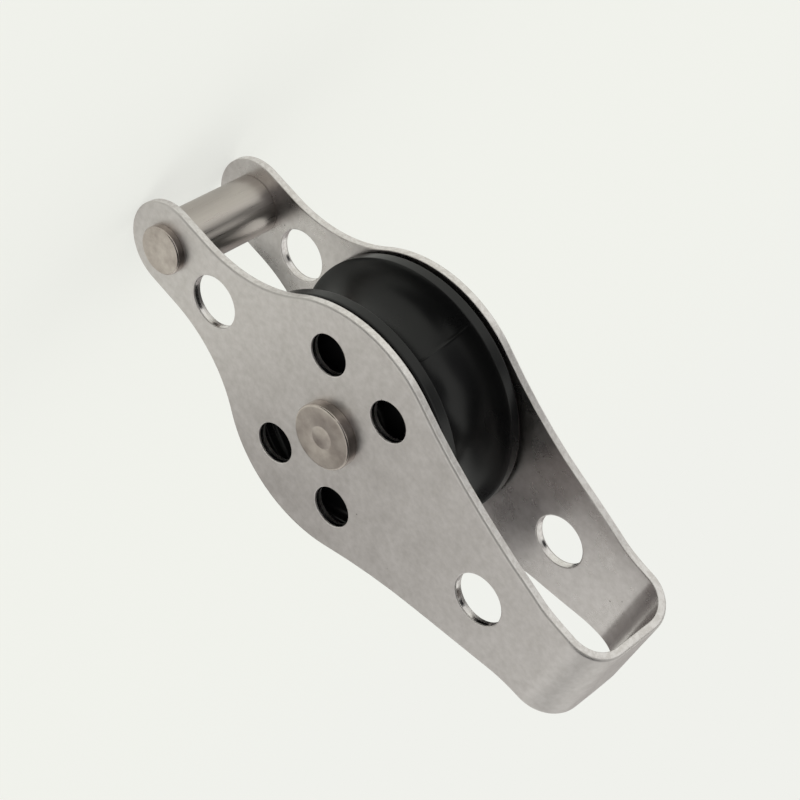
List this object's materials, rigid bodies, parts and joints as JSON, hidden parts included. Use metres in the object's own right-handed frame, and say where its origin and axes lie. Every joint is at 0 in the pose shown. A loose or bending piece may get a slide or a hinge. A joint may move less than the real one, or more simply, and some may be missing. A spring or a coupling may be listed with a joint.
{
  "type": "single pulley",
  "caption": "Single block pulley: grooved plastic wheel on a riveted axle between the cheeks of a folded steel strap, with a becket post and shackle eyes.",
  "frame": {"origin": "on the axle, midway between the two cheeks, at the centre of the wheel", "axes": "+Y along the axle from the cheek with the turned rivet heads to the other, +Z from the axle towards the folded head, +X across the cheeks"},
  "size_m": [0.03, 0.0166, 0.0687],
  "materials": {
    "satin_stainless": "stamped stainless strip, tumbled to a soft satin",
    "moulded_nylon": "moulded black nylon with a low sheen",
    "turned_rivet": "turned stainless rivet, faintly warm",
    "drawn_tube": "drawn stainless tube, smooth and half bright"
  },
  "bodies": {
    "frame": {"cheek_strap": "satin_stainless", "axle_rivet": "turned_rivet", "axle_sleeve": "drawn_tube", "becket_rivet": "turned_rivet", "becket_sleeve": "drawn_tube"},
    "wheel": {"sheave": "moulded_nylon"}
  },
  "joints": [
    {"name": "sheave_spin", "type": "hinge", "parent": "frame", "child": "wheel", "pos_m": [0, 0, 0], "axis": [0, 1, 0], "continuous": true}
  ]
}
